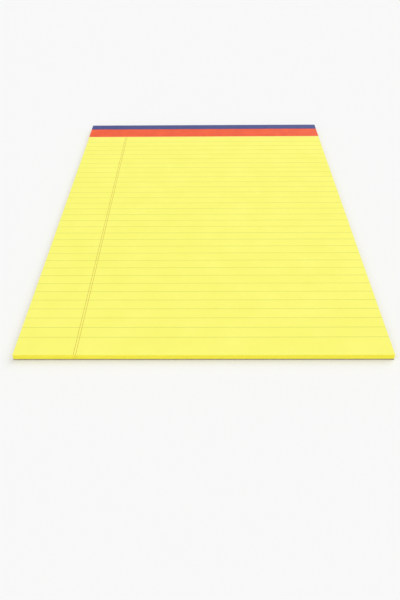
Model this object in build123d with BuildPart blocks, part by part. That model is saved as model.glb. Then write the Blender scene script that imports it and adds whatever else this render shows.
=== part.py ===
# A4 legal pad lying face up: ruled sheets on a backboard, stapled and taped along the head.
# X runs across the sheet, +Y points to the bound head edge, Z is up from the table.
import os

from build123d import *

# Sheets and backboard, in millimetres
sheet_width = 210.0
sheet_length = 297.0
sheet_count = 40
sheet_thickness = 0.075
board_thickness = 0.7

# Printed header strip across the head of the top sheet
header_depth = 24.4
header_thickness = 0.12

# Binding tape, folded over the head edge
tape_width = 25.0
tape_thickness = 0.15
tape_face_depth = 8.4

# Wire staples through the head, under the tape
staple_count = 3
staple_pitch = 70.0
staple_inset = 4.5
staple_crown = 12.7
staple_clinch = 3.0
wire_height = 0.45
wire_width = 0.65
bend_radius = 0.5
wire_clearance = 0.02

# Heights, from the table up
sheets_height = sheet_count * sheet_thickness
sheets_top = board_thickness + sheets_height
header_top = sheets_top + header_thickness
pad_top = header_top + tape_thickness

# Places along the pad, with the whole pad centred on the origin
pad_length = sheet_length + tape_thickness
foot_y = -pad_length / 2
head_y = foot_y + sheet_length
sheet_middle_y = (foot_y + head_y) / 2

# The tape covers the face first, then the head edge, and the rest goes under the board
tape_back_depth = tape_width - tape_face_depth - pad_top

# The staples are spread evenly about the middle of the head
staple_y = head_y - staple_inset
staple_places = [(place - (staple_count - 1) / 2) * staple_pitch for place in range(staple_count)]


def staple_section(middle_x, room):
    """Outline of one closed staple, seen along the pad, with room around its wire."""
    wire_middle = wire_height / 2
    crown_z = header_top - wire_middle
    clinch_z = tape_thickness + wire_middle
    leg_x = (staple_crown - wire_height) / 2
    tip_x = leg_x + wire_middle - staple_clinch - room
    wire_line = [
        (middle_x - tip_x, clinch_z),
        (middle_x - leg_x, clinch_z),
        (middle_x - leg_x, crown_z),
        (middle_x + leg_x, crown_z),
        (middle_x + leg_x, clinch_z),
        (middle_x + tip_x, clinch_z),
    ]
    with BuildSketch(Plane.XZ.offset(-staple_y)) as section:
        with BuildLine():
            FilletPolyline(*wire_line, radius=bend_radius)
        trace(line_width=wire_height + 2 * room)
    return section.sketch


slot_sections = [staple_section(place, wire_clearance) for place in staple_places]
slot_half_width = wire_width / 2 + wire_clearance

# Stiff board, pressed in where the tape wraps under it, so that the pad lies flat
with BuildPart() as backboard:
    with BuildSketch(Plane((0, sheet_middle_y, 0))):
        Rectangle(sheet_width, sheet_length)
    extrude(amount=board_thickness)
    with BuildSketch(Plane((0, head_y, 0))):
        Rectangle(sheet_width, tape_back_depth, align=(Align.CENTER, Align.MAX))
    extrude(amount=tape_thickness, mode=Mode.SUBTRACT)
    for slot in slot_sections:
        extrude(slot, amount=slot_half_width, both=True, mode=Mode.SUBTRACT)
backboard.part.label = "backboard"

# The block of ruled sheets, slit where the staples pass and hollowed under their crowns
with BuildPart() as sheets:
    with BuildSketch(Plane((0, sheet_middle_y, board_thickness))):
        Rectangle(sheet_width, sheet_length)
    extrude(amount=sheets_height)
    for slot in slot_sections:
        extrude(slot, amount=slot_half_width, both=True, mode=Mode.SUBTRACT)
sheets.part.label = "sheets"

# Header strip on the top sheet, level with the head edge
with BuildPart() as header_strip:
    with BuildSketch(Plane((0, head_y, sheets_top))):
        Rectangle(sheet_width, header_depth, align=(Align.CENTER, Align.MAX))
    extrude(amount=header_thickness)
    for slot in slot_sections:
        extrude(slot, amount=slot_half_width, both=True, mode=Mode.SUBTRACT)
header_strip.part.label = "header_strip"

# Staples, their crowns pulled level with the header and their legs clinched into the board
with BuildPart() as binding_staples:
    for place in staple_places:
        extrude(staple_section(place, 0), amount=wire_width / 2, both=True)
binding_staples.part.label = "binding_staples"

# Tape folded round the head: a face flap, the spine and a back flap
with BuildPart() as binding_tape:
    with BuildSketch(Plane.YZ) as tape_section:
        with Locations((head_y + tape_thickness, header_top)):
            Rectangle(tape_face_depth + tape_thickness, tape_thickness, align=(Align.MAX, Align.MIN))
        with Locations((head_y + tape_thickness, 0)):
            Rectangle(tape_back_depth + tape_thickness, tape_thickness, align=(Align.MAX, Align.MIN))
        with Locations((head_y, 0)):
            Rectangle(tape_thickness, pad_top, align=(Align.MIN, Align.MIN))
        fillet(tape_section.vertices().group_by(Axis.X)[-1], radius=tape_thickness)
    extrude(amount=sheet_width / 2, both=True)
binding_tape.part.label = "binding_tape"

os.makedirs("parts", exist_ok=True)
for piece in (backboard, sheets, header_strip, binding_staples, binding_tape):
    export_step(piece.part, f"parts/{piece.part.label}.step")
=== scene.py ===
import math

import bmesh
import bpy
from mathutils import Matrix, Vector, noise


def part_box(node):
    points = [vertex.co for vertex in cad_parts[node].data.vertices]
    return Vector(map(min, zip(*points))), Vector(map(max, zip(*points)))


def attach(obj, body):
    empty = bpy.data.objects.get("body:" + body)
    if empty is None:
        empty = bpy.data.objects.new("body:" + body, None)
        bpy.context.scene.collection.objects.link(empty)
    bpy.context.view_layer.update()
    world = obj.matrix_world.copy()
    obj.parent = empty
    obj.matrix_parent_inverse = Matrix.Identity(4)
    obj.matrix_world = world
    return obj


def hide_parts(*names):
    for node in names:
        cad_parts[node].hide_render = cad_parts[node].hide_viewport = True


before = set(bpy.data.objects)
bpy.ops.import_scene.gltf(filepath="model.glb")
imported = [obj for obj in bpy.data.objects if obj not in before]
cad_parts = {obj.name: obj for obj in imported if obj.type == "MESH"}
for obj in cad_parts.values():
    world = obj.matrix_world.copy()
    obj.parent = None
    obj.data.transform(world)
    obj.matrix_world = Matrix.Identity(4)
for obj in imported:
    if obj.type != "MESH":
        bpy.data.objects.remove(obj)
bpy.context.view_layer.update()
mm = 0.001

# Where the frame puts the pad, face up with its head at +Y
sheetsLow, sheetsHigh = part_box("sheets")
headerLow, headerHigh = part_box("header_strip")
tapeLow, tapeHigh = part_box("binding_tape")
stapleLow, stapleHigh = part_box("binding_staples")
sheetWidth = sheetsHigh.x - sheetsLow.x
sheetLength = sheetsHigh.y - sheetsLow.y
pileHeight = sheetsHigh.z - sheetsLow.z
headY = sheetsHigh.y
footY = sheetsLow.y


# Helpers for shader and geometry trees
def addNode(tree, kind, **settings):
    node = tree.nodes.new(kind)
    for key, value in settings.items():
        setattr(node, key, value)
    return node


def feed(tree, socket, value):
    if isinstance(value, bpy.types.NodeSocket):
        tree.links.new(value, socket)
    else:
        socket.default_value = value


def calc(tree, operation, *values):
    node = addNode(tree, "ShaderNodeMath", operation=operation)
    for socket, value in zip(node.inputs, values):
        feed(tree, socket, value)
    return node.outputs[0]


def times(tree, first, *others):
    for other in others:
        first = calc(tree, "MULTIPLY", first, other)
    return first


def ease(tree, value, span, target=(0.0, 1.0)):
    # Moves smoothly from one target to the other while the value crosses the span
    node = addNode(tree, "ShaderNodeMapRange", interpolation_type="SMOOTHSTEP")
    for socket, number in zip(node.inputs, (value, *span, *target)):
        feed(tree, socket, number)
    return node.outputs[0]


def splitVector(tree, vector):
    node = addNode(tree, "ShaderNodeSeparateXYZ")
    feed(tree, node.inputs[0], vector)
    return node.outputs[0], node.outputs[1], node.outputs[2]


def mixColour(tree, share, first, second):
    node = addNode(tree, "ShaderNodeMix", data_type="RGBA")
    feed(tree, node.inputs[0], share)
    feed(tree, node.inputs[6], first)  # colours go in at 6 and 7, and come out at 2
    feed(tree, node.inputs[7], second)
    return node.outputs[2]


def blendOf(tree, first, second, share):
    return calc(tree, "MULTIPLY_ADD", first, share, calc(tree, "MULTIPLY", second, 1 - share))


def noiseOf(tree, vector, scale, detail, roughness):
    # The looks give each noise as its scale, detail and roughness
    node = addNode(tree, "ShaderNodeTexNoise")
    feed(tree, node.inputs["Vector"], vector)
    node.inputs["Scale"].default_value = scale
    node.inputs["Detail"].default_value = detail
    node.inputs["Roughness"].default_value = roughness
    return node.outputs[0]


def stretched(tree, vector, scale, turn=0.0):
    node = addNode(tree, "ShaderNodeMapping", vector_type="TEXTURE")
    feed(tree, node.inputs["Vector"], vector)
    node.inputs["Rotation"].default_value = (0, 0, turn)
    node.inputs["Scale"].default_value = scale
    return node.outputs[0]


def fibresOf(tree, vector, look):
    # Hair-like streaks that cross at a few angles
    fibres = None
    for turn in look["fibreTurns"]:
        along = stretched(tree, vector, (1, look["fibreStretch"], 1), math.radians(turn))
        streak = noiseOf(tree, along, *look["fibre"])
        fibres = streak if fibres is None else calc(tree, "MAXIMUM", fibres, streak)
    return fibres


def bumped(tree, shader, height, strength, depth):
    # The looks give each relief as its strength and depth
    node = addNode(tree, "ShaderNodeBump")
    node.inputs["Strength"].default_value = strength
    node.inputs["Distance"].default_value = depth
    feed(tree, node.inputs["Height"], height)
    tree.links.new(node.outputs[0], shader.inputs["Normal"])


def newMaterial(name, gloss):
    material = bpy.data.materials.new(name)
    material.use_nodes = True
    tree = material.node_tree
    shader = tree.nodes["Principled BSDF"]
    shader.inputs["Specular IOR Level"].default_value = gloss
    return material, tree, shader


def objectCoords(tree):
    outputs = addNode(tree, "ShaderNodeTexCoord").outputs
    return outputs["Object"], outputs["Normal"]


def facing(tree, normal, axis):
    # 1 on faces that look along the axis, 0 on the others
    split = addNode(tree, "ShaderNodeSeparateXYZ")
    feed(tree, split.inputs[0], normal)
    return calc(tree, "GREATER_THAN", calc(tree, "ABSOLUTE", split.outputs[axis]), 0.5)


# Helpers for meshes
def linkPiece(name, mesh):
    piece = bpy.data.objects.new(name, mesh)
    bpy.context.scene.collection.objects.link(piece)
    return piece


def gridBox(name, low, high, columns, rows):
    # A thin closed block with its broad faces cut into a grid
    build = bmesh.new()
    levels = []
    for z in (low.z, high.z):
        level = []
        for row in range(rows + 1):
            y = low.y + (high.y - low.y) * row / rows
            places = [low.x + (high.x - low.x) * column / columns for column in range(columns + 1)]
            level.append([build.verts.new((x, y, z)) for x in places])
        levels.append(level)
    under, upper = levels
    for row in range(rows):
        for column in range(columns):
            corners = ((row, column), (row, column + 1), (row + 1, column + 1), (row + 1, column))
            build.faces.new([upper[i][j] for i, j in corners])
            build.faces.new([under[i][j] for i, j in reversed(corners)])
    rim = [(0, j) for j in range(columns)] + [(i, columns) for i in range(rows)]
    rim += [(rows, j) for j in range(columns, 0, -1)] + [(i, 0) for i in range(rows, 0, -1)]
    for (i, j), (k, m) in zip(rim, rim[1:] + rim[:1]):
        build.faces.new([under[i][j], under[k][m], upper[k][m], upper[i][j]])
    mesh = bpy.data.meshes.new(name)
    build.to_mesh(mesh)
    build.free()
    return mesh


# Geometry Nodes: one tree repeats a mesh along a line, another lifts the free corners
liftLook = {
    "rise": 0.2 * mm,  # how far the free corners of the top sheet stand up
    "fromLevel": 0.55,  # the share of the pile that stays flat
    "reach": 70 * mm,  # how far from the foot the lift begins
    "sideSpan": (0.15, 0.5),  # of the width, from the middle line
    "middleShare": 0.15,  # of the lift, at the middle of the foot
}


def newTree(name, inputs):
    tree = bpy.data.node_groups.new(name, "GeometryNodeTree")
    tree.interface.new_socket("Geometry", in_out="INPUT", socket_type="NodeSocketGeometry")
    for label, kind in inputs.items():
        tree.interface.new_socket(label, in_out="INPUT", socket_type="NodeSocket" + kind)
    tree.interface.new_socket("Geometry", in_out="OUTPUT", socket_type="NodeSocketGeometry")
    return tree, addNode(tree, "NodeGroupInput").outputs, addNode(tree, "NodeGroupOutput").inputs


def cornerLiftTree():
    tree, given, result = newTree("cornerLift", {"Rise": "Float", "Reach": "Float"})
    x, y, z = splitVector(tree, addNode(tree, "GeometryNodeInputPosition").outputs[0])
    level = calc(tree, "DIVIDE", calc(tree, "SUBTRACT", z, sheetsLow.z), pileHeight)
    high = ease(tree, level, (liftLook["fromLevel"], 1.0))
    nearFoot = ease(tree, calc(tree, "SUBTRACT", y, footY), (given["Reach"], 0.0))
    sideSpan = [share * sheetWidth for share in liftLook["sideSpan"]]
    nearSide = ease(tree, calc(tree, "ABSOLUTE", x), sideSpan, (liftLook["middleShare"], 1.0))
    offset = addNode(tree, "ShaderNodeCombineXYZ")
    feed(tree, offset.inputs["Z"], times(tree, given["Rise"], high, nearFoot, nearSide))
    move = addNode(tree, "GeometryNodeSetPosition")
    feed(tree, move.inputs["Geometry"], given["Geometry"])
    feed(tree, move.inputs["Offset"], offset.outputs[0])
    feed(tree, result[0], move.outputs[0])
    return tree


def rowTree(liftTree):
    tree, given, result = newTree("paperRow", {
        "Count": "Int",
        "Step": "Vector",
        "Play Low": "Vector",
        "Play High": "Vector",
        "Twist": "Float",
        "Seed": "Int",
        "Rise": "Float",
        "Reach": "Float",
        "Material": "Material",
    })
    line = addNode(tree, "GeometryNodeMeshLine", mode="OFFSET")
    feed(tree, line.inputs["Count"], given["Count"])
    feed(tree, line.inputs["Offset"], given["Step"])
    play = addNode(tree, "FunctionNodeRandomValue", data_type="FLOAT_VECTOR")
    feed(tree, play.inputs[0], given["Play Low"])
    feed(tree, play.inputs[1], given["Play High"])
    feed(tree, play.inputs["Seed"], given["Seed"])
    scatter = addNode(tree, "GeometryNodeSetPosition")
    feed(tree, scatter.inputs["Geometry"], line.outputs[0])
    feed(tree, scatter.inputs["Offset"], play.outputs[0])
    turn = addNode(tree, "FunctionNodeRandomValue", data_type="FLOAT")
    feed(tree, turn.inputs[2], times(tree, given["Twist"], -1.0))  # floats go in at 2 and 3
    feed(tree, turn.inputs[3], given["Twist"])
    feed(tree, turn.inputs["Seed"], given["Seed"])
    spin = addNode(tree, "ShaderNodeCombineXYZ")
    feed(tree, spin.inputs["Z"], turn.outputs[1])
    copies = addNode(tree, "GeometryNodeInstanceOnPoints")
    feed(tree, copies.inputs["Points"], scatter.outputs[0])
    feed(tree, copies.inputs["Instance"], given["Geometry"])
    feed(tree, copies.inputs["Rotation"], spin.outputs[0])
    plain = addNode(tree, "GeometryNodeRealizeInstances")
    feed(tree, plain.inputs[0], copies.outputs[0])
    lift = addNode(tree, "GeometryNodeGroup", node_tree=liftTree)
    feed(tree, lift.inputs["Geometry"], plain.outputs[0])
    feed(tree, lift.inputs["Rise"], given["Rise"])
    feed(tree, lift.inputs["Reach"], given["Reach"])
    finish = addNode(tree, "GeometryNodeSetMaterial")
    feed(tree, finish.inputs["Geometry"], lift.outputs[0])
    feed(tree, finish.inputs["Material"], given["Material"])
    feed(tree, result[0], finish.outputs[0])
    return tree


paperRow = rowTree(cornerLiftTree())


def rowPiece(name, mesh, material, count=1, step=(0, 0, 0), play=0.0, twist=0.0, seed=0):
    # Runs the tree on a mesh and keeps the result as a plain mesh
    settings = {
        "Count": count,
        "Step": step,
        "Play Low": (-play, -play, 0),
        "Play High": (play, 0, 0),  # nothing slips past the head
        "Twist": twist,
        "Seed": seed,
        "Rise": liftLook["rise"],
        "Reach": liftLook["reach"],
        "Material": material,
    }
    start = linkPiece(name + "_start", mesh)
    modifier = start.modifiers.new("paperRow", "NODES")
    modifier.node_group = paperRow
    for socket in paperRow.interface.items_tree:
        if socket.in_out == "INPUT" and socket.name in settings:
            modifier[socket.identifier] = settings[socket.name]
    evaluated = start.evaluated_get(bpy.context.evaluated_depsgraph_get())
    made = bpy.data.meshes.new_from_object(evaluated)
    start.modifiers.remove(modifier)
    bpy.data.objects.remove(start)
    made.name = name
    return linkPiece(name, made)


print("trees ready")

# Ruling, whose ends show on the paper's cut edges too
ruleLook = {
    "fromHead": 35 * mm,  # to the first line
    "pitch": 8 * mm,
    "count": 32,
    "width": 0.28 * mm,
    "ink": (0.575, 0.600, 0.118, 1),
    "inkFaint": (0.680, 0.690, 0.143, 1),
}
marginLook = {
    "fromLeft": 33.6 * mm,
    "gap": 1.3 * mm,  # between the two lines
    "count": 2,
    "width": 0.28 * mm,
    "ink": (0.60, 0.42, 0.055, 1),
    "inkFaint": (0.68, 0.53, 0.08, 1),
}
firstRuleY = headY - ruleLook["fromHead"]
firstMarginX = sheetsLow.x + marginLook["fromLeft"]

# Paper: uncoated yellow stock, its cut edges deeper in colour
paperLook = {
    "face": (0.960, 0.934, 0.190, 1),
    "faceDeep": (0.928, 0.893, 0.152, 1),
    "edge": (0.955, 0.875, 0.050, 1),
    "edgeDeep": (0.76, 0.67, 0.035, 1),
    "cloud": (55, 4, 0.55),  # slow changes of tone across the sheet
    "fibre": (4400, 3, 0.6),
    "fibreStretch": 4,  # how long a fibre is for its width
    "fibreTurns": (20, 75, 140),  # degrees
    "fibreShare": 0.7,  # of the tone, the rest is cloud
    "toneSpan": (0.44, 0.68),  # where the noise takes the colour from deep to pale
    "layerScale": 0.9,  # changes of tone from sheet to sheet
    "layerDetail": 1.0,
    "layerSpan": (0.62, 0.30),
    "gloss": 0.3,
    "roughSpan": (0.4, 0.8),
    "roughness": (0.64, 0.8),  # from one end of that span to the other
    "relief": (0.4, 0.02 * mm),
    "inkOnEdge": 0.75,  # how far the ends of the lines tint the cut edges
    "tickHalf": 0.8,  # how far they spread to each side, in widths of the line
    "printPlay": 2 * mm,  # how far the print wanders from sheet to sheet
}
pileLook = {
    "count": 40,
    "paperShare": 0.9,  # of each sheet's room, the rest is air
    "play": 0.13 * mm,  # how far a sheet may slip
    "twist": math.radians(0.02),
    "seed": 11,
    "grid": (12, 16),  # cuts across and along each sheet
    "topGrid": (24, 74),  # fine enough for the print to lie on it
}
sheetRoom = pileHeight / pileLook["count"]


def edgeTicks(tree, place, normal, edge):
    # The print runs off the sheets, so the ends of its lines show down the pile
    x, y, z = splitVector(tree, place)
    sheet = calc(tree, "FLOOR", calc(tree, "DIVIDE", calc(tree, "SUBTRACT", z, sheetsLow.z), sheetRoom))
    chance = addNode(tree, "ShaderNodeTexWhiteNoise", noise_dimensions="1D")
    feed(tree, chance.inputs["W"], sheet)
    shift = times(tree, calc(tree, "SUBTRACT", chance.outputs["Value"], 0.5), paperLook["printPlay"])
    x = calc(tree, "ADD", x, shift)
    y = calc(tree, "ADD", y, shift)
    onEnd = times(tree, facing(tree, normal, "Y"), paperLook["inkOnEdge"])
    onSide = times(tree, facing(tree, normal, "X"), paperLook["inkOnEdge"])
    for line in range(marginLook["count"]):
        lineX = firstMarginX + line * marginLook["gap"]
        away = calc(tree, "ABSOLUTE", calc(tree, "SUBTRACT", x, lineX))
        tick = calc(tree, "LESS_THAN", away, paperLook["tickHalf"] * marginLook["width"])
        edge = mixColour(tree, times(tree, tick, onEnd), edge, marginLook["ink"])
    steps = calc(tree, "DIVIDE", calc(tree, "SUBTRACT", firstRuleY, y), ruleLook["pitch"])
    nearest = calc(tree, "ROUND", steps)
    away = calc(tree, "ABSOLUTE", calc(tree, "SUBTRACT", steps, nearest))
    tick = calc(tree, "LESS_THAN", away, paperLook["tickHalf"] * ruleLook["width"] / ruleLook["pitch"])
    fromMiddle = calc(tree, "ABSOLUTE", calc(tree, "SUBTRACT", nearest, (ruleLook["count"] - 1) / 2))
    ruled = calc(tree, "LESS_THAN", fromMiddle, ruleLook["count"] / 2)
    return mixColour(tree, times(tree, tick, ruled, onSide), edge, ruleLook["ink"])


def yellowPaper():
    material, tree, shader = newMaterial("yellowPaper", paperLook["gloss"])
    place, normal = objectCoords(tree)
    cloud = noiseOf(tree, place, *paperLook["cloud"])
    fibre = fibresOf(tree, place, paperLook)
    tone = ease(tree, blendOf(tree, fibre, cloud, paperLook["fibreShare"]), paperLook["toneSpan"])
    face = mixColour(tree, tone, paperLook["faceDeep"], paperLook["face"])
    layer = addNode(tree, "ShaderNodeTexNoise", noise_dimensions="1D")
    feed(tree, layer.inputs["W"], calc(tree, "DIVIDE", splitVector(tree, place)[2], sheetRoom))
    layer.inputs["Scale"].default_value = paperLook["layerScale"]
    layer.inputs["Detail"].default_value = paperLook["layerDetail"]
    depth = ease(tree, layer.outputs[0], paperLook["layerSpan"])
    edge = mixColour(tree, depth, paperLook["edge"], paperLook["edgeDeep"])
    edge = edgeTicks(tree, place, normal, edge)
    feed(tree, shader.inputs["Base Color"], mixColour(tree, facing(tree, normal, "Z"), edge, face))
    feed(tree, shader.inputs["Roughness"], ease(tree, fibre, paperLook["roughSpan"], paperLook["roughness"]))
    bumped(tree, shader, fibre, *paperLook["relief"])
    return material


paper = yellowPaper()
sheetThick = sheetRoom * pileLook["paperShare"]
sideSlack = pileLook["play"] + pileLook["twist"] * sheetLength / 2  # keeps the pile in its box
footSlack = pileLook["play"] + pileLook["twist"] * sheetWidth / 2


def sheetMesh(name, bottomZ, grid):
    low = Vector((sheetsLow.x + sideSlack, footY + footSlack, bottomZ))
    high = Vector((sheetsHigh.x - sideSlack, headY, bottomZ + sheetThick))
    return gridBox(name, low, high, *grid)


sheetPile = rowPiece(
    "sheet_pile",
    sheetMesh("sheet", sheetsLow.z, pileLook["grid"]),
    paper,
    count=pileLook["count"] - 1,
    step=(0, 0, sheetRoom),
    play=pileLook["play"],
    twist=pileLook["twist"],
    seed=pileLook["seed"],
)
topSheet = rowPiece(
    "top_sheet",
    sheetMesh("topSheet", sheetsHigh.z - sheetThick, pileLook["topGrid"]),
    paper,
)
print("sheets piled:", pileLook["count"])

# Print on the top sheet: thin ribbons of ink, let into the paper
inkLook = {
    "proud": 0.006 * mm,  # how far the ink stands above the paper
    "marginRise": 1.5,  # times proud, so that the margin lies over the ruling
    "sunk": 0.03 * mm,
    "fromEdge": 0.01 * mm,  # where the lines stop short of the sheet's edge
    "underHeader": 0.5 * mm,  # how far the margin runs on under the strip
    "grain": (2200, 3, 0.65),  # ink soaks in unevenly
    "grainSpan": (0.4, 0.7),
    "gloss": 0.3,
    "roughness": 0.7,
    "relief": (0.12, 0.02 * mm),
}


def lineInk(name, look):
    material, tree, shader = newMaterial(name, inkLook["gloss"])
    shader.inputs["Roughness"].default_value = inkLook["roughness"]
    density = noiseOf(tree, objectCoords(tree)[0], *inkLook["grain"])
    shade = mixColour(tree, ease(tree, density, inkLook["grainSpan"]), look["ink"], look["inkFaint"])
    feed(tree, shader.inputs["Base Color"], shade)
    bumped(tree, shader, density, *inkLook["relief"])
    return material


def ruledLines():
    half = ruleLook["width"] / 2
    reach = sheetWidth / 2 - sideSlack - inkLook["fromEdge"]
    low = Vector((-reach, firstRuleY - half, sheetsHigh.z - inkLook["sunk"]))
    high = Vector((reach, firstRuleY + half, sheetsHigh.z + inkLook["proud"]))
    return rowPiece(
        "ruled_lines",
        gridBox("ruledLine", low, high, pileLook["topGrid"][0], 1),
        lineInk("ruledInk", ruleLook),
        count=ruleLook["count"],
        step=(0, -ruleLook["pitch"], 0),
    )


def marginLines():
    half = marginLook["width"] / 2
    startY = footY + footSlack + inkLook["fromEdge"]
    endY = headerLow.y + inkLook["underHeader"]
    topZ = sheetsHigh.z + inkLook["marginRise"] * inkLook["proud"]
    low = Vector((firstMarginX - half, startY, sheetsHigh.z - inkLook["sunk"]))
    high = Vector((firstMarginX + half, endY, topZ))
    return rowPiece(
        "margin_lines",
        gridBox("marginLine", low, high, 1, pileLook["topGrid"][1]),
        lineInk("marginInk", marginLook),
        count=marginLook["count"],
        step=(marginLook["gap"], 0, 0),
    )


ruling = ruledLines()
margin = marginLines()
print("lines printed:", ruleLook["count"] + marginLook["count"])

# Tape: a face flap, the spine and a back flap, with the staples showing through a little
tapeLook = {
    "faceDepth": 8.4 * mm,
    "stations": 211,  # cross-sections from side to side
    "foldSteps": 6,  # faces round each bend
    "wobble": 0.11 * mm,  # how uneven the cut edges are
    "faceSway": ((90, 0.3, 1.0), (700, 1.7, 0.4)),  # waves a metre, seed and share of the wobble
    "backSway": (80, 5.1),
    "proud": 0.04 * mm,  # how far the fold and the staples stand above the flap
    "foldFade": 1.6 * mm,
    "foldCuts": (0.75, 0.5, 0.25),  # of the fade
    "ridgeHalf": 0.3 * mm,
    "ridgeFade": 0.9 * mm,
    "ridgeCuts": 6,  # rows of points to each side of a staple's wire
    "cutsInFade": 4,  # how many of them the fade takes up
    "print": (0.026, 0.044, 0.205, 1),
    # the lighter navy serves the rubbed patches and also the painted highlight on the thread crests
    "wornAndHighlight": (0.075, 0.100, 0.290, 1),
    "linenPitch": 0.42 * mm,
    "threadSway": (900, 2, 0.55),
    "threadSwing": 3.0,  # how far the sway bends the threads
    "paintedCrestSpan": (0.2, 1.0),
    "paintedCrestShare": 0.14,  # painted highlight: this share of the lighter navy is laid on the crests of the threads
    "wear": (420, 5, 0.7),
    "wearSpan": (0.52, 0.78),
    "wearShare": 0.35,
    "gloss": 0.3,
    "roughSpan": (0.3, 0.7),
    "roughness": (0.38, 0.54),
    "relief": (0.25, 0.02 * mm),
}
stapleLook = {
    "crown": 12.7 * mm,
    "wire": (0.62, 0.61, 0.59, 1),
    "streak": (6000, 3, 0.55),  # drawing marks along the wire
    "streakStretch": (10, 1, 1),
    "gloss": 0.5,
    "roughSpan": (0.3, 0.7),
    "roughness": (0.2, 0.4),
}
tapeThick = tapeHigh.z - headerHigh.z
stapleY = (stapleLow.y + stapleHigh.y) / 2
outerStaple = stapleHigh.x - stapleLook["crown"] / 2
stapleXs = (-outerStaple, 0.0, outerStaple)


def fadeOut(distance, half, fade):
    share = min(max((distance - half) / fade, 0.0), 1.0)
    return 1 - share * share * (3 - 2 * share)


def flapZ(x, y):
    across = fadeOut(abs(y - stapleY), tapeLook["ridgeHalf"], tapeLook["ridgeFade"])
    nearest = min(abs(x - stapleX) for stapleX in stapleXs)
    along = fadeOut(nearest, stapleLook["crown"] / 2, tapeLook["ridgeFade"])
    fold = fadeOut(headY - y, 0.0, tapeLook["foldFade"])
    return tapeHigh.z - tapeLook["proud"] * (1 - max(across * along, fold))


def tapeSection(x, faceEnd, backEnd):
    cuts = range(-tapeLook["ridgeCuts"], tapeLook["ridgeCuts"] + 1)
    ridgeYs = [stapleY + cut * tapeLook["ridgeFade"] / tapeLook["cutsInFade"] for cut in cuts]
    foldYs = [headY - tapeLook["foldFade"] * share for share in tapeLook["foldCuts"]]
    outer = [(y, flapZ(x, y)) for y in [faceEnd] + ridgeYs + foldYs]
    for middleZ, startAngle in ((headerHigh.z, 90), (tapeThick, 0)):  # a quarter turn each
        for step in range(tapeLook["foldSteps"] + 1):
            angle = math.radians(startAngle - 90 * step / tapeLook["foldSteps"])
            outer.append((headY + tapeThick * math.cos(angle), middleZ + tapeThick * math.sin(angle)))
    outer.append((backEnd, tapeLow.z))
    inner = [(backEnd, tapeThick), (headY, tapeThick), (headY, headerHigh.z), (faceEnd, headerHigh.z)]
    return outer + inner


def foldedTape(material):
    build = bmesh.new()
    rings = []
    backWaves, backSeed = tapeLook["backSway"]
    for station in range(tapeLook["stations"]):
        x = tapeLow.x + (tapeHigh.x - tapeLow.x) * station / (tapeLook["stations"] - 1)
        sway = sum(share * noise.noise((x * waves, seed, 0.0)) for waves, seed, share in tapeLook["faceSway"])
        backSway = 0.5 + 0.5 * noise.noise((x * backWaves, backSeed, 0.0))
        faceEnd = headY - tapeLook["faceDepth"] + tapeLook["wobble"] * sway
        backEnd = tapeLow.y + tapeLook["wobble"] * backSway
        rings.append([build.verts.new((x, y, z)) for y, z in tapeSection(x, faceEnd, backEnd)])
    size = len(rings[0])
    for first, second in zip(rings, rings[1:]):
        for i in range(size):
            j = (i + 1) % size
            build.faces.new([first[i], first[j], second[j], second[i]])
    build.faces.new(list(reversed(rings[0])))
    build.faces.new(rings[-1])
    bmesh.ops.recalc_face_normals(build, faces=build.faces)
    mesh = bpy.data.meshes.new("binding_tape_fold")
    build.to_mesh(mesh)
    build.free()
    mesh.materials.append(material)
    return linkPiece("binding_tape_fold", mesh)


def navyTape():
    material, tree, shader = newMaterial("navyTape", tapeLook["gloss"])
    place = objectCoords(tree)[0]
    x, y, z = splitVector(tree, place)
    turn = 2 * math.pi / tapeLook["linenPitch"]
    sway = times(tree, noiseOf(tree, place, *tapeLook["threadSway"]), tapeLook["threadSwing"])
    warp = calc(tree, "SINE", calc(tree, "MULTIPLY_ADD", x, turn, sway))
    along = calc(tree, "SUBTRACT", y, z)  # runs on round the fold
    weft = calc(tree, "SINE", calc(tree, "MULTIPLY_ADD", along, turn, sway))
    linen = calc(tree, "MAXIMUM", warp, weft)
    wear = noiseOf(tree, place, *tapeLook["wear"])
    rubbed = times(tree, ease(tree, wear, tapeLook["wearSpan"]), tapeLook["wearShare"])
    shade = mixColour(tree, rubbed, tapeLook["print"], tapeLook["wornAndHighlight"])
    # Painted highlight: the crests of the linen threads are lightened toward the lighter navy
    paintedCrestLight = times(tree, ease(tree, linen, tapeLook["paintedCrestSpan"]), tapeLook["paintedCrestShare"])
    feed(tree, shader.inputs["Base Color"], mixColour(tree, paintedCrestLight, shade, tapeLook["wornAndHighlight"]))
    feed(tree, shader.inputs["Roughness"], ease(tree, wear, tapeLook["roughSpan"], tapeLook["roughness"]))
    bumped(tree, shader, linen, *tapeLook["relief"])
    return material


tape = foldedTape(navyTape())
print("tape folded:", len(tape.data.polygons), "faces")

# Finishes of the pieces that keep their own shape
headerLook = {
    "print": (0.88, 0.104, 0.020, 1),
    "printDeep": (0.80, 0.080, 0.015, 1),
    "core": (0.84, 0.77, 0.66, 1),  # bare paper at the cut edges
    "cloud": (120, 4, 0.55),
    "grain": (3200, 3, 0.65),
    "grainShare": 0.4,  # of the tone, the rest is cloud
    "toneSpan": (0.35, 0.65),
    "gloss": 0.28,
    "roughSpan": (0.3, 0.7),
    "roughness": (0.44, 0.58),
    "relief": (0.3, 0.015 * mm),
}
boardLook = {
    "pale": (0.40, 0.345, 0.265, 1),
    "dark": (0.27, 0.225, 0.165, 1),
    "speck": (0.13, 0.10, 0.075, 1),
    "pulp": (700, 5, 0.7),
    "fibre": (1900, 3, 0.6),
    "fibreStretch": 8,
    "fibreTurns": (10, 70, 125),  # degrees
    "fibreShare": 0.5,  # of the tone, the rest is pulp
    "toneSpan": (0.42, 0.70),
    "specks": (1500, 2, 0.5),
    "speckSpan": (0.70, 0.76),
    "gloss": 0.25,
    "roughness": 0.92,
    "relief": (0.3, 0.04 * mm),
}


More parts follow.
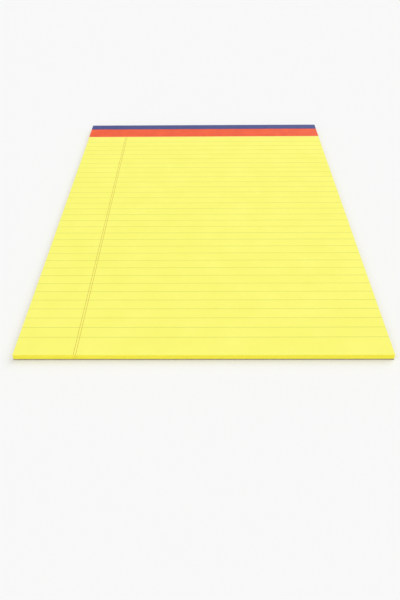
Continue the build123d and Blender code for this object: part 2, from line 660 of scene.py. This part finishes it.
def orangeHeader():
    material, tree, shader = newMaterial("orangeHeader", headerLook["gloss"])
    place, normal = objectCoords(tree)
    cloud = noiseOf(tree, place, *headerLook["cloud"])
    grain = noiseOf(tree, place, *headerLook["grain"])
    tone = ease(tree, blendOf(tree, grain, cloud, headerLook["grainShare"]), headerLook["toneSpan"])
    shade = mixColour(tree, tone, headerLook["printDeep"], headerLook["print"])
    shade = mixColour(tree, facing(tree, normal, "Z"), headerLook["core"], shade)
    feed(tree, shader.inputs["Base Color"], shade)
    rough = ease(tree, grain, headerLook["roughSpan"], headerLook["roughness"])
    feed(tree, shader.inputs["Roughness"], rough)
    bumped(tree, shader, grain, *headerLook["relief"])
    return material


def greyBoard():
    material, tree, shader = newMaterial("greyBoard", boardLook["gloss"])
    shader.inputs["Roughness"].default_value = boardLook["roughness"]
    place = objectCoords(tree)[0]
    pulp = noiseOf(tree, place, *boardLook["pulp"])
    tone = blendOf(tree, fibresOf(tree, place, boardLook), pulp, boardLook["fibreShare"])
    shade = mixColour(tree, ease(tree, tone, boardLook["toneSpan"]), boardLook["dark"], boardLook["pale"])
    speck = ease(tree, noiseOf(tree, place, *boardLook["specks"]), boardLook["speckSpan"])
    feed(tree, shader.inputs["Base Color"], mixColour(tree, speck, shade, boardLook["speck"]))
    bumped(tree, shader, tone, *boardLook["relief"])
    return material


def stapleWire():
    material, tree, shader = newMaterial("stapleWire", stapleLook["gloss"])
    shader.inputs["Base Color"].default_value = stapleLook["wire"]
    shader.inputs["Metallic"].default_value = 1.0
    along = stretched(tree, objectCoords(tree)[0], stapleLook["streakStretch"])
    streak = noiseOf(tree, along, *stapleLook["streak"])
    rough = ease(tree, streak, stapleLook["roughSpan"], stapleLook["roughness"])
    feed(tree, shader.inputs["Roughness"], rough)
    return material


def refinish(node, material):
    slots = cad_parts[node].data.materials
    slots.clear()
    slots.append(material)


refinish("header_strip", orangeHeader())
refinish("backboard", greyBoard())
refinish("binding_staples", stapleWire())
print("finishes set")

# What each piece stands for in the frame
for piece in (sheetPile, topSheet, ruling, margin, tape):
    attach(piece, "root")
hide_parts("sheets")
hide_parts("sheets")
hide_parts("binding_tape")

# Floor, light and camera
studioLook = {
    "floor": (0.92, 0.92, 0.915, 1),
    "floorGloss": 0.0,
    "floorRoughness": 1.0,
    "floorSize": 60.0,
    "floorLap": 0.05 * mm,  # how far the floor reaches in under the pad
    "worldTint": (1, 1, 1, 1),
    "worldLight": 0.5,
    "backdrop": (0.938, 0.938, 0.936, 1),
    "softness": math.radians(50),
    "suns": {  # where each light stands, and its strength
        "keySun": ((0.85, 0.95, 1.1), 1.08),
        "fillSun": ((-1.1, -0.5, 1.3), 0.5),
        "frontSun": ((0.1, -1.5, 0.9), 1.12),
    },
}
cameraLook = {
    "place": Vector((1.05, -357.03, 227.36)) * mm,
    "tilt": math.radians(48.681),
    "yaw": math.radians(0.685),
    "roll": math.radians(-0.552),
    "lens": 33.327,
    "sensor": 36,
    "clipStart": 10 * mm,
}


def paleFloor():
    # One-sided and open under the pad, so that the back of the board shows from below
    half = studioLook["floorSize"] / 2
    lap = studioLook["floorLap"]
    corners = [(-half, -half, 0), (half, -half, 0), (half, half, 0), (-half, half, 0)]
    for x, y in ((-1, footY + lap), (1, footY + lap), (1, headY - lap), (-1, headY - lap)):
        corners.append((x * (sheetWidth / 2 - lap), y, 0))
    mesh = bpy.data.meshes.new("floor")
    mesh.from_pydata(corners, [], [(0, 1, 5, 4), (1, 2, 6, 5), (2, 3, 7, 6), (3, 0, 4, 7)])
    material, tree, shader = newMaterial("paleFloor", studioLook["floorGloss"])
    shader.inputs["Roughness"].default_value = studioLook["floorRoughness"]
    shader.inputs["Base Color"].default_value = studioLook["floor"]
    clear = addNode(tree, "ShaderNodeBsdfTransparent")
    oneSided = addNode(tree, "ShaderNodeMixShader")
    feed(tree, oneSided.inputs[0], addNode(tree, "ShaderNodeNewGeometry").outputs["Backfacing"])
    feed(tree, oneSided.inputs[1], shader.outputs[0])
    feed(tree, oneSided.inputs[2], clear.outputs[0])
    feed(tree, tree.nodes["Material Output"].inputs["Surface"], oneSided.outputs[0])
    mesh.materials.append(material)
    linkPiece("floor", mesh)


def softWorld():
    world = bpy.data.worlds.new("softWorld")
    world.use_nodes = True
    tree = world.node_tree
    light = tree.nodes["Background"]
    light.inputs["Color"].default_value = studioLook["worldTint"]
    light.inputs["Strength"].default_value = studioLook["worldLight"]
    shown = addNode(tree, "ShaderNodeBackground")
    shown.inputs["Color"].default_value = studioLook["backdrop"]
    rays = addNode(tree, "ShaderNodeLightPath").outputs
    seen = calc(tree, "MAXIMUM", rays["Is Camera Ray"], rays["Is Glossy Ray"])
    seen = calc(tree, "MAXIMUM", seen, rays["Is Transmission Ray"])
    choose = addNode(tree, "ShaderNodeMixShader")
    feed(tree, choose.inputs[0], seen)
    feed(tree, choose.inputs[1], light.outputs[0])
    feed(tree, choose.inputs[2], shown.outputs[0])
    feed(tree, tree.nodes["World Output"].inputs["Surface"], choose.outputs[0])
    bpy.context.scene.world = world


def softSun(name, place, strength):
    lamp = bpy.data.lights.new(name, "SUN")
    lamp.energy = strength
    lamp.angle = studioLook["softness"]
    sun = bpy.data.objects.new(name, lamp)
    sun.location = place
    sun.rotation_euler = (-Vector(place)).to_track_quat("-Z", "Y").to_euler()
    bpy.context.scene.collection.objects.link(sun)


def photoCamera():
    lens = bpy.data.cameras.new("camera")
    lens.sensor_width = cameraLook["sensor"]
    lens.lens = cameraLook["lens"]
    lens.clip_start = cameraLook["clipStart"]
    camera = bpy.data.objects.new("camera", lens)
    turn = Matrix.Rotation(cameraLook["yaw"], 3, "Z") @ Matrix.Rotation(cameraLook["tilt"], 3, "X")
    turn = turn @ Matrix.Rotation(cameraLook["roll"], 3, "Z")
    camera.rotation_euler = turn.to_euler()
    camera.location = cameraLook["place"]
    bpy.context.scene.collection.objects.link(camera)
    bpy.context.scene.camera = camera


paleFloor()
softWorld()
for name, (place, strength) in studioLook["suns"].items():
    softSun(name, place, strength)
photoCamera()
bpy.context.scene.view_settings.view_transform = "Standard"
print("studio ready")
